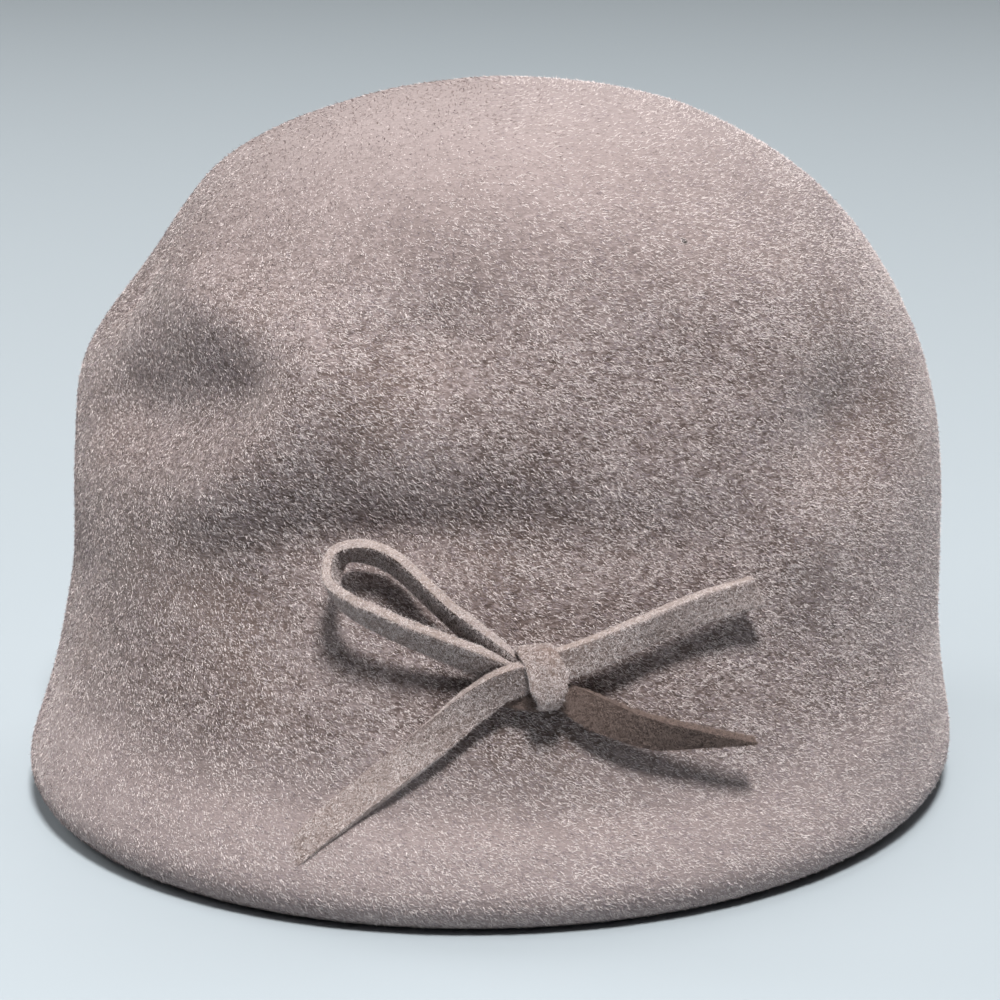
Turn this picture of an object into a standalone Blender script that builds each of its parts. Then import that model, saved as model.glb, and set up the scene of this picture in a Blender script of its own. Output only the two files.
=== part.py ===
"""A felt cloche hat: one blocked hood with a short brim, and a half bow of the same felt.

Lengths are in metres, angles in degrees, and Z is up. The brim's front is at -Y, the wearer's
left at +X. The origin is the middle of the hood's outline, on the surface that the rim rests on.
"""

import math
from typing import NamedTuple

import bmesh
import bpy
from mathutils import Matrix, Vector

# Hood, outside sizes
CROWN_LENGTH = 0.190
CROWN_WIDTH = 0.182
HOOD_HEIGHT = 0.1445
SHOULDER_HEIGHT = 0.055
DOME_POWER = 2.2
PLAIN_TOP = 0.45  # share of the oval plan at which the dents begin to fade towards the top
RIM_FADE = 0.010  # height over which the dents fade towards the hem
FELT_THICKNESS = 0.0022

# Brim: how far it stands out at the rim, and how high up the wall it starts
FRONT_REACH = 0.019
BACK_REACH = 0.0014
REACH_POWER = 2.1
FRONT_START = 0.0593
BACK_START = 0.0283
START_POWER = 1.685
FLARE_POWER = 1.49

# Rim, turned under into a hem
EDGE_RADIUS = 0.0055
REST_WIDTH = 0.0015
ROLL_RADIUS = 0.0026
HEM_HEIGHT = 0.011
HEM_GAP = 0.0005

# Strip and bow
STRIP_WIDTH = 0.00635
STRIP_THICKNESS = 0.0020
STRIP_EDGE = 0.0004
KNOT_AZIMUTH = 23.7
KNOT_HEIGHT = 0.0466
BOW_TILT = 20.0
KNOT_WIDTH = 0.0072
KNOT_TALL = 0.0104
KNOT_DEPTH = 0.0080
KNOT_ROUND = 0.0032
KNOT_EDGE = 0.0006
LOOP_LENGTH = 0.039
STRAND_LENGTH = 0.046
SQUARE_TAIL_LENGTH = 0.043
POINTED_TAIL_LENGTH = 0.034
TIP_CUT = 0.011
POINT_SHARE = 0.15
SEAT_GAP = 0.0003

# Facets
HOOD_SIDES = 64
DOME_RINGS = 18
WALL_RINGS = 6
EDGE_RINGS = 3
ROLL_RINGS = 2
HEM_RINGS = 2
STRIP_STEPS = 2
BEVEL_STEPS = 3

FELT_COLOUR = (0.39, 0.31, 0.30, 1.0)
STRIP_COLOUR = (0.43, 0.35, 0.34, 1.0)
FELT_ROUGHNESS = 0.95
SMOOTH_ANGLE = 50.0

# Small steps round and up the hood that its surface directions are taken over
NORMAL_TURN = 0.05
NORMAL_RISE = 0.0001
LEAST_SHARE = 0.01


class Dent(NamedTuple):
    """A soft hollow, or a ridge where depth is positive. Tilt raises it towards the wearer's left."""

    azimuth: float
    height: float  # share of HOOD_HEIGHT
    depth: float  # share of CROWN_WIDTH
    along: float  # half width round the hood, share of CROWN_LENGTH
    up: float  # half width up the hood, share of HOOD_HEIGHT
    tilt: float


DENTS = (
    # Right side of the head: a hollow over a ridge, running in towards the front
    Dent(-63, 0.760, -0.0283, 0.095, 0.086, 0),
    Dent(-74, 0.580, 0.0168, 0.139, 0.095, -12),
    Dent(-37, 0.606, -0.0399, 0.162, 0.077, 10),
    Dent(-16, 0.644, -0.0174, 0.071, 0.061, 15),
    Dent(-11, 0.587, 0.0344, 0.159, 0.089, 45),
    Dent(3, 0.487, -0.0186, 0.132, 0.050, 6),
    Dent(-81, 0.869, 0.0088, 0.076, 0.068, 1),
    Dent(-23, 0.743, 0.0227, 0.157, 0.051, -8),
    Dent(-20, 0.434, -0.0092, 0.132, 0.061, -1),
    Dent(-61, 0.253, 0.0045, 0.165, 0.082, 15),
    # Left side of the head
    Dent(72, 0.591, -0.0351, 0.108, 0.085, 1),
    Dent(59, 0.465, 0.0176, 0.071, 0.077, -4),
    Dent(70, 0.136, 0.0095, 0.163, 0.057, 2),
    # Front: a full upper crown over shallow waves, and the waist over the brim
    Dent(29, 0.865, 0.0278, 0.356, 0.120, -12),
    Dent(9, 0.744, -0.0194, 0.084, 0.052, 3),
    Dent(12, 0.685, -0.0040, 0.091, 0.047, 8),
    Dent(42, 0.691, -0.0092, 0.084, 0.058, 3),
    Dent(39, 0.611, -0.0064, 0.161, 0.049, -7),
    Dent(21, 0.514, -0.0273, 0.374, 0.094, -4),
    Dent(25, 0.153, -0.0104, 0.387, 0.055, -2),
)


class Ring(NamedTuple):
    """One ring of the hood's outer face, from the top of the dome to the hem's free end."""

    height: float
    reach: float  # share of the oval plan
    inset: float  # how far inside the wall at that height


class Turn(NamedTuple):
    """One station of a strip, counted from the side of the knot that it leaves."""

    along: float  # share of the piece's length, away from the knot
    aside: float  # share of the piece's length, up across the knot's axis
    out: float  # the strip's middle above the hood, share of STRIP_WIDTH
    lean: float  # from standing on edge (0) to lying flat (90 or -90)
    width: float = 1.0  # share of STRIP_WIDTH, less where the knot pinches it


LOOP_TURNS = (
    Turn(-0.01, 0.134, 0.57, 43),
    Turn(0.075, 0.28, 0.64, 44),
    Turn(0.17, 0.45, 0.70, 45),
    Turn(0.265, 0.62, 0.74, 45),
    Turn(0.33, 0.73, 0.76, 45),
    Turn(0.39, 0.81, 0.79, 43),
    Turn(0.47, 0.855, 0.84, 38),
    Turn(0.54, 0.86, 0.94, 28),
    Turn(0.60, 0.82, 1.12, 10),
    Turn(0.63, 0.755, 1.28, -10),
    Turn(0.60, 0.68, 1.36, -26),
    Turn(0.54, 0.60, 1.34, -38),
    Turn(0.405, 0.465, 1.16, -45),
    Turn(0.22, 0.265, 0.86, -50),
    Turn(-0.02, -0.002, 0.46, -60, 0.72),
)
STRAND_TURNS = (
    Turn(0.00, 0.033, 1.05, 68),
    Turn(0.11, 0.023, 0.94, 71),
    Turn(0.215, -0.015, 0.80, 73),
    Turn(0.365, -0.09, 0.62, 79),
    Turn(0.525, -0.16, 0.48, 86),
    Turn(0.735, -0.245, 0.36, 94),
    Turn(0.93, -0.335, 0.31, 99),
    Turn(1.00, -0.375, 0.30, 100),
)
SQUARE_TAIL_TURNS = (
    Turn(0.00, 0.030, 0.90, -78),
    Turn(0.08, 0.018, 0.88, -76),
    Turn(0.26, 0.005, 0.80, -74),
    Turn(0.40, -0.004, 0.76, -74),
    Turn(0.54, -0.008, 0.72, -75),
    Turn(0.725, -0.024, 0.68, -76),
    Turn(0.955, -0.075, 0.66, -78),
)
POINTED_TAIL_TURNS = (
    Turn(-0.045, -0.143, 0.42, -87, 0.66),
    Turn(-0.004, -0.206, 0.51, -79, 0.82),
    Turn(0.050, -0.274, 0.64, -67),
    Turn(0.140, -0.373, 0.75, -55),
    Turn(0.250, -0.475, 0.84, -42),
    Turn(0.451, -0.625, 0.88, -33),
    Turn(0.713, -0.825, 0.90, -28),
)

# The hood's own axis stands behind the origin, because the brim reaches further at the front
AXIS_Y = (FRONT_REACH - BACK_REACH) / 2
POLE = Ring(HOOD_HEIGHT, 0.0, 0.0)


def frontness(azimuth):
    """1 at the front of the hat, 0 at its back."""
    return (1 + math.cos(math.radians(azimuth))) / 2


def plan_radius(azimuth):
    """Radius of the crown's oval plan."""
    turn = math.radians(azimuth)
    return 1 / math.hypot(math.sin(turn) * 2 / CROWN_WIDTH, math.cos(turn) * 2 / CROWN_LENGTH)


def dome_share(height):
    """How much of the oval plan is left at a height: all of it up to the shoulder, none at the top."""
    rise = (height - SHOULDER_HEIGHT) / (HOOD_HEIGHT - SHOULDER_HEIGHT)
    rise = min(max(rise, 0.0), 1.0)
    return (1 - rise**DOME_POWER) ** (1 / DOME_POWER)


def flare(azimuth, height):
    """How far the brim stands out from the crown's wall."""
    front = frontness(azimuth)
    reach = BACK_REACH + (FRONT_REACH - BACK_REACH) * front**REACH_POWER
    start = BACK_START + (FRONT_START - BACK_START) * front**START_POWER
    share = (start - height) / (start - EDGE_RADIUS)
    return reach * min(max(share, 0.0), 1.0) ** FLARE_POWER


def smooth_point(azimuth, height, reach, inset=0.0):
    """A point of the hood before its dents."""
    radius = plan_radius(azimuth) * reach + flare(azimuth, height) - inset
    turn = math.radians(azimuth)
    return Vector((radius * math.sin(turn), AXIS_Y - radius * math.cos(turn), height))


def felt_normal(azimuth, height):
    """The way out of the hood's outer face, taken from the smooth form."""
    low = max(height - NORMAL_RISE, EDGE_RADIUS)
    high = min(height + NORMAL_RISE, HOOD_HEIGHT)
    share = max(dome_share(height), LEAST_SHARE)
    round_it = smooth_point(azimuth + NORMAL_TURN, height, share)
    round_it -= smooth_point(azimuth - NORMAL_TURN, height, share)
    up_it = smooth_point(azimuth, high, dome_share(high))
    up_it -= smooth_point(azimuth, low, dome_share(low))
    return round_it.cross(up_it).normalized()


def dent_depth(azimuth, height):
    """How far all the dents and ridges together move the felt, out of the hood where positive."""
    moved = 0.0
    for dent in DENTS:
        turn = (azimuth - dent.azimuth + 180) % 360 - 180
        along = math.radians(turn) * CROWN_LENGTH / 2
        up = height - dent.height * HOOD_HEIGHT
        tilt = math.radians(dent.tilt)
        across = (along * math.cos(tilt) + up * math.sin(tilt)) / (dent.along * CROWN_LENGTH)
        rise = (up * math.cos(tilt) - along * math.sin(tilt)) / (dent.up * HOOD_HEIGHT)
        moved += dent.depth * CROWN_WIDTH * math.exp(-(across**2) - rise**2)
    top = min(dome_share(height) / PLAIN_TOP, 1.0) ** 2
    return moved * top * min(max(height - HEM_HEIGHT, 0.0) / RIM_FADE, 1.0)


def on_hood(azimuth, height, out=0.0):
    """(point, normal): a place out above the dented felt."""
    normal = felt_normal(azimuth, height)
    base = smooth_point(azimuth, height, dome_share(height))
    return base + normal * (dent_depth(azimuth, height) + out), normal


def hood_rings():
    """The rings of the hood's outer face, below its pole."""
    rings = []
    for ring in range(1, DOME_RINGS + 1):
        turn = math.pi / 2 * ring / DOME_RINGS
        rise = math.cos(turn) ** (2 / DOME_POWER) if ring < DOME_RINGS else 0.0
        height = SHOULDER_HEIGHT + (HOOD_HEIGHT - SHOULDER_HEIGHT) * rise
        rings.append(Ring(height, dome_share(height), 0.0))
    for ring in range(1, WALL_RINGS + 1):
        height = SHOULDER_HEIGHT + (EDGE_RADIUS - SHOULDER_HEIGHT) * ring / WALL_RINGS
        rings.append(Ring(height, 1.0, 0.0))
    for ring in range(1, EDGE_RINGS + 1):
        turn = math.pi / 2 * ring / EDGE_RINGS
        low = EDGE_RADIUS * (1 - math.sin(turn)) if ring < EDGE_RINGS else 0.0
        rings.append(Ring(low, 1.0, EDGE_RADIUS * (1 - math.cos(turn))))
    rolled = EDGE_RADIUS + REST_WIDTH
    for ring in range(ROLL_RINGS + 1):
        turn = math.pi / 2 * ring / ROLL_RINGS
        height = ROLL_RADIUS * (1 - math.cos(turn))
        rings.append(Ring(height, 1.0, rolled + ROLL_RADIUS * math.sin(turn)))
    low_inset = rolled + ROLL_RADIUS
    top_inset = 2 * FELT_THICKNESS + HEM_GAP
    for ring in range(1, HEM_RINGS + 1):
        share = ring / HEM_RINGS
        height = ROLL_RADIUS + (HEM_HEIGHT - ROLL_RADIUS) * share
        rings.append(Ring(height, 1.0, low_inset + (top_inset - low_inset) * share))
    return rings


def hood_point(azimuth, ring):
    """A point of the hood's outer face on a ring. The rim and the hem carry no dents."""
    if ring.reach == 0.0:
        return Vector((0.0, AXIS_Y, HOOD_HEIGHT))
    if ring.inset > 0.0:
        return smooth_point(azimuth, ring.height, ring.reach, ring.inset)
    return on_hood(azimuth, ring.height)[0]


def felt_material(name, colour):
    """Brushed wool felt."""
    material = bpy.data.materials.new(name)
    material.use_nodes = True
    shader = material.node_tree.nodes["Principled BSDF"]
    shader.inputs["Base Color"].default_value = colour
    shader.inputs["Roughness"].default_value = FELT_ROUGHNESS
    shader.inputs["Metallic"].default_value = 0.0
    return material


def add_piece(shape, name, collection, material):
    """Makes a shape an object of its own, shaded smooth up to its sharp edges."""
    mesh = bpy.data.meshes.new(name)
    shape.to_mesh(mesh)
    shape.free()
    mesh.shade_smooth()
    mesh.set_sharp_from_angle(angle=math.radians(SMOOTH_ANGLE))
    mesh.materials.append(material)
    piece = bpy.data.objects.new(name, mesh)
    collection.objects.link(piece)
    return piece


def add_thickness(piece, thickness, offset):
    """Turns an open surface into felt of that thickness."""
    wall = piece.modifiers.new("thickness", "SOLIDIFY")
    wall.thickness = thickness
    wall.offset = offset
    wall.use_even_offset = True


def add_round_edges(piece, width, steps):
    """Rounds a piece's sharp edges."""
    edges = piece.modifiers.new("edges", "BEVEL")
    edges.width = width
    edges.segments = steps
    edges.limit_method = "ANGLE"
    edges.angle_limit = math.radians(SMOOTH_ANGLE)
    edges.use_clamp_overlap = True


def add_hood(collection):
    """The crown, brim, rolled rim and hem, all one blocked felt."""
    rings = [POLE, *hood_rings()]
    shell = bmesh.new()
    bmesh.ops.create_uvsphere(shell, u_segments=HOOD_SIDES, v_segments=len(rings), radius=1.0)
    for vert in list(shell.verts):
        number = round(math.acos(max(-1.0, min(1.0, vert.co.z))) / math.pi * len(rings))
        if number == len(rings):
            shell.verts.remove(vert)
            continue
        azimuth = math.degrees(math.atan2(vert.co.x, -vert.co.y))
        vert.co = hood_point(azimuth, rings[number])
    bmesh.ops.recalc_face_normals(shell, faces=shell.faces)
    middle = Vector((0.0, AXIS_Y, SHOULDER_HEIGHT))
    if sum(face.normal.dot(face.calc_center_median() - middle) for face in shell.faces) < 0:
        bmesh.ops.reverse_faces(shell, faces=shell.faces)
    hood = add_piece(shell, "felt_hood", collection, felt_material("wool_felt", FELT_COLOUR))
    add_thickness(hood, FELT_THICKNESS, -1.0)
    return hood


def bow_place(along, aside, out):
    """(point, normal) of a place in the bow's own directions, counted from the middle of the knot."""
    tilt = math.radians(BOW_TILT)
    across = along * math.cos(tilt) - aside * math.sin(tilt)
    up = along * math.sin(tilt) + aside * math.cos(tilt)
    radius = plan_radius(KNOT_AZIMUTH) + flare(KNOT_AZIMUTH, KNOT_HEIGHT)
    return on_hood(KNOT_AZIMUTH + math.degrees(across / radius), KNOT_HEIGHT + up, out)


def bow_axis():
    """The way through the knot, towards the wearer's left."""
    return (bow_place(KNOT_WIDTH, 0.0, 0.0)[0] - bow_place(-KNOT_WIDTH, 0.0, 0.0)[0]).normalized()


def knot_seat():
    """How far the knot's flat back stands out, so that the hood's curve clears it everywhere."""
    centre, normal = bow_place(0.0, 0.0, 0.0)
    rise = 0.0
    for along in (-0.5, 0.0, 0.5):
        for aside in (-0.5, 0.0, 0.5):
            place = bow_place(along * KNOT_WIDTH, aside * KNOT_TALL, 0.0)[0]
            rise = max(rise, (place - centre).dot(normal))
    return rise + SEAT_GAP


def add_knot(collection, material):
    """The strip's last turn round the rest, drawn tight: a barrel along the bow's axis, with flat sides."""
    centre, normal = bow_place(0.0, 0.0, knot_seat() + KNOT_DEPTH / 2)
    axis = bow_axis()
    tall = normal.cross(axis).normalized()
    shape = bmesh.new()
    bmesh.ops.create_cube(shape, size=1.0)
    bmesh.ops.scale(shape, vec=(KNOT_WIDTH, KNOT_TALL, KNOT_DEPTH), verts=shape.verts)
    lengthways = []
    for edge in shape.edges:
        if abs(edge.verts[0].co.x - edge.verts[1].co.x) > KNOT_WIDTH / 2:
            lengthways.append(edge)
    bmesh.ops.bevel(
        shape,
        geom=lengthways,
        offset=KNOT_ROUND,
        segments=BEVEL_STEPS,
        affect="EDGES",
        profile=0.5,
        material=-1,
    )
    knot = add_piece(shape, "bow_knot", collection, material)
    add_round_edges(knot, KNOT_EDGE, 1)
    knot.matrix_world = Matrix.Translation(centre) @ Matrix((axis, tall, normal)).transposed().to_4x4()
    return knot


def between(before, here, after, beyond, share):
    """A value between here and after, on the smooth curve through four values."""
    slope = (after - before) / 2
    bend = before - 2.5 * here + 2 * after - beyond / 2
    turn = 1.5 * (here - after) + (beyond - before) / 2
    return here + share * slope + share**2 * bend + share**3 * turn


def smooth_turns(turns):
    """The turns with more between them, along a curve through them all."""
    spread = []
    for number in range(len(turns) - 1):
        before = turns[max(number - 1, 0)]
        here = turns[number]
        after = turns[number + 1]
        beyond = turns[min(number + 2, len(turns) - 1)]
        for step in range(STRIP_STEPS):
            share = step / STRIP_STEPS
            spread.append(Turn(*(between(*four, share) for four in zip(before, here, after, beyond))))
    spread.append(turns[-1])
    return spread


def strip_directions(places, lean, number):
    """(way, width way) of a strip at one of its stations."""
    point, normal = places[number]
    after = places[min(number + 1, len(places) - 1)][0]
    before = places[max(number - 1, 0)][0]
    way = (after - before).normalized()
    normal = (normal - way * normal.dot(way)).normalized()
    turn = math.radians(lean)
    return way, normal * math.cos(turn) + way.cross(normal) * math.sin(turn)


def strip_places(stations, length, side):
    """Where a strip runs, with its first corners just clear of the knot's side."""
    axis = bow_axis()
    start = KNOT_WIDTH / 2 + SEAT_GAP
    for _ in range(2):
        places = []
        for turn in stations:
            along = side * (start + turn.along * length)
            places.append(bow_place(along, turn.aside * length, turn.out * STRIP_WIDTH))
        way, width_way = strip_directions(places, stations[0].lean, 0)
        corner = abs(axis.dot(width_way)) * STRIP_WIDTH * stations[0].width / 2
        corner += abs(axis.dot(way.cross(width_way))) * STRIP_THICKNESS / 2
        start = KNOT_WIDTH / 2 + SEAT_GAP + corner
    return places


def add_strip(name, collection, material, turns, length, side, tip_cut=0.0):
    """A flat strip that leaves the knot at the wearer's left (side 1) or right (side -1)."""
    stations = smooth_turns(turns)
    places = strip_places(stations, length, side)
    last = len(stations) - 1
    tip = places[last][0]
    shape = bmesh.new()
    bmesh.ops.create_grid(shape, x_segments=last, y_segments=1, size=1.0)
    for vert in shape.verts:
        number = round((vert.co.x + 1) / 2 * last)
        point = places[number][0]
        width_way = strip_directions(places, stations[number].lean, number)[1]
        half = stations[number].width * STRIP_WIDTH / 2
        if vert.co.y > 0:
            vert.co = point + width_way * half
            continue
        kept = 1.0
        if tip_cut > 0.0:
            kept = min(1.0, (point - tip).length / tip_cut + POINT_SHARE)
        vert.co = point + width_way * half * (1 - 2 * kept)
    bmesh.ops.recalc_face_normals(shape, faces=shape.faces)
    strip = add_piece(shape, name, collection, material)
    add_thickness(strip, STRIP_THICKNESS, 0.0)
    add_round_edges(strip, STRIP_EDGE, 1)
    return strip


def main():
    """Builds the hat."""
    for item in list(bpy.data.objects):
        bpy.data.objects.remove(item)
    hat = bpy.data.collections.new("cloche_hat")
    bpy.context.scene.collection.children.link(hat)
    strip_felt = felt_material("strip_felt", STRIP_COLOUR)
    add_hood(hat)
    add_knot(hat, strip_felt)
    add_strip("bow_loop", hat, strip_felt, LOOP_TURNS, LOOP_LENGTH, -1)
    add_strip("bow_strand", hat, strip_felt, STRAND_TURNS, STRAND_LENGTH, -1)
    add_strip("bow_tail_square", hat, strip_felt, SQUARE_TAIL_TURNS, SQUARE_TAIL_LENGTH, 1)
    add_strip("bow_tail_pointed", hat, strip_felt, POINTED_TAIL_TURNS, POINTED_TAIL_LENGTH, 1, TIP_CUT)


if __name__ == "__main__":
    main()
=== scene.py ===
"""The looks of a felt cloche hat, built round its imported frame.

The hood is one blocked wool felt with a short brim, rolled under at the rim. A narrow strip of the same
felt is tied in a half bow at the front. Lengths are in metres, angles in degrees, and Z is up. The brim's
front is at -Y and the wearer's left at +X.
"""

import logging
import math
from dataclasses import dataclass, field
from enum import Enum
from typing import Any, Iterable, NamedTuple, Optional

import bmesh
import bpy
import numpy as np
from mathutils import Matrix, Vector, noise


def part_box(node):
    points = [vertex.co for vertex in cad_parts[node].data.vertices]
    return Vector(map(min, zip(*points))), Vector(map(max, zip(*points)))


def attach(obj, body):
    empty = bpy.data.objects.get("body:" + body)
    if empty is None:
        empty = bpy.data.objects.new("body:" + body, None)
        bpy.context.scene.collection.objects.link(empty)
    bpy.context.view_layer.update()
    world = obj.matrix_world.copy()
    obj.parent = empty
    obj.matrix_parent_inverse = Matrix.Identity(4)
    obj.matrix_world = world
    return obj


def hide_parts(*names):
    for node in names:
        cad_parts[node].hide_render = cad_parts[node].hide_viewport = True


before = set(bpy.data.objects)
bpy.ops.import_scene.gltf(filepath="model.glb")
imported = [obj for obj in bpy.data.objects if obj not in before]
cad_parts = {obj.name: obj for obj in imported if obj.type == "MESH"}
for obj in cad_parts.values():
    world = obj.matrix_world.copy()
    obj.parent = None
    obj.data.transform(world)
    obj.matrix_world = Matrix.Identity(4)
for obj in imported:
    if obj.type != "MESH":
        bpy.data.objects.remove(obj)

Tree = bpy.types.NodeTree
Socket = bpy.types.NodeSocket
Material = bpy.types.Material
Piece = bpy.types.Object
Shape = bmesh.types.BMesh

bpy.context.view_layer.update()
LOG = logging.getLogger("cloche_hat")
MM = 0.001


class Dent(NamedTuple):
    """A soft hollow in the felt, or a ridge where depth is positive."""

    azimuth: float
    height: float  # share of the hood's height
    depth: float  # share of the crown's width
    along: float  # half width round the hood, share of the crown's length
    up: float  # half width up the hood, share of its height
    tilt: float  # raises it towards the wearer's left


DENTS = (
    # Right side of the head: a hollow over a ridge, running in towards the front
    Dent(-63, 0.760, -0.0283, 0.095, 0.086, 0),
    Dent(-74, 0.580, 0.0168, 0.139, 0.095, -12),
    Dent(-37, 0.606, -0.0399, 0.162, 0.077, 10),
    Dent(-16, 0.644, -0.0174, 0.071, 0.061, 15),
    Dent(-11, 0.587, 0.0344, 0.159, 0.089, 45),
    Dent(3, 0.487, -0.0186, 0.132, 0.050, 6),
    Dent(-81, 0.869, 0.0088, 0.076, 0.068, 1),
    Dent(-23, 0.743, 0.0227, 0.157, 0.051, -8),
    Dent(-20, 0.434, -0.0092, 0.132, 0.061, -1),
    Dent(-61, 0.253, 0.0045, 0.165, 0.082, 15),
    # Left side of the head
    Dent(72, 0.591, -0.0351, 0.108, 0.085, 1),
    Dent(59, 0.465, 0.0176, 0.071, 0.077, -4),
    Dent(70, 0.136, 0.0095, 0.163, 0.057, 2),
    # Front: a full upper crown over shallow waves, and the waist over the brim
    Dent(29, 0.865, 0.0278, 0.356, 0.120, -12),
    Dent(9, 0.744, -0.0194, 0.084, 0.052, 3),
    Dent(12, 0.685, -0.0040, 0.091, 0.047, 8),
    Dent(42, 0.691, -0.0092, 0.084, 0.058, 3),
    Dent(39, 0.611, -0.0064, 0.161, 0.049, -7),
    Dent(21, 0.514, -0.0273, 0.374, 0.094, -4),
    Dent(25, 0.153, -0.0104, 0.387, 0.055, -2),
)

# The waist over the brim, drawn in a little more than the solid's. The bow stands off it, as in the photo.
WAIST_DENTS = DENTS + (
    Dent(16, 0.405, -0.0125, 0.30, 0.095, 0),
    Dent(20, 0.470, -0.0050, 0.35, 0.065, 0),
)
# The rim's round edge, fuller than the solid's, as the photo's shading asks for
FULL_EDGE_RADIUS = 0.008
# Azimuth, height and radius of each moth-eaten speck
SPECK_PLACES = ((-20.3, 0.0679, 0.0010), (48.0, 0.1197, 0.0009))
# Blades of nap in each of the hood's four meshes, and in the bow's meshes by their tone
HOOD_BLADES = 182000
BOW_BLADES = {"light": 38000, "middle": 44000, "brown": 24000}


class Ring(NamedTuple):
    """One ring of the hood's outer face, from the top of the dome to the hem's free end."""

    height: float
    reach: float  # share of the oval plan
    inset: float  # how far inside the wall at that height


class Turn(NamedTuple):
    """One station of a strip of the bow."""

    along: float  # share of the piece's length, away from its start by the knot
    aside: float  # share of the piece's length, up across the knot's axis
    out: float  # the strip's middle above the hood, share of the strip's width
    lean: float  # from standing on edge (0) to lying flat (90 or -90)
    width: float = 1.0  # share of the strip's width, less where the knot pinches it


class Side(Enum):
    """The side of the knot that a strip leaves by."""

    WEARERS_LEFT = 1
    WEARERS_RIGHT = -1


def linear(hex_colour: str) -> tuple[float, float, float, float]:
    """Turns an sRGB hex colour to the linear values that shaders take.

    Args:
        hex_colour: six hex digits, such as "c8b8b4".

    Returns:
        Red, green, blue and an alpha of 1.
    """
    parts = [int(hex_colour[place:place + 2], 16) / 255 for place in (0, 2, 4)]
    red, green, blue = (
        part / 12.92 if part <= 0.04045 else ((part + 0.055) / 1.055) ** 2.4 for part in parts
    )
    return red, green, blue, 1.0


def add_node(
    tree: Tree,
    kind: str,
    settings: Optional[dict[Any, Any]] = None,
    links: Optional[dict[Any, Socket]] = None,
) -> bpy.types.Node:
    """Adds a node with its settings and links.

    Args:
        tree: the node tree that it goes in.
        kind: the node's type name, without the ShaderNode that all of them start with.
        settings: values by the name of a property of the node, or else of an input, or by input number.
        links: the output that feeds each named or numbered input.

    Returns:
        The node.
    """
    node = tree.nodes.new("ShaderNode" + kind)
    for name, value in (settings or {}).items():
        if isinstance(name, str) and hasattr(node, name):
            setattr(node, name, value)
        else:
            node.inputs[name].default_value = value
    for name, socket in (links or {}).items():
        tree.links.new(socket, node.inputs[name])
    return node


@dataclass(frozen=True)
class Speck:
    """A moth-eaten speck, a small dark pit in the nap."""

    place: Vector
    radius: float
    colour: str = "2a2422"


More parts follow.
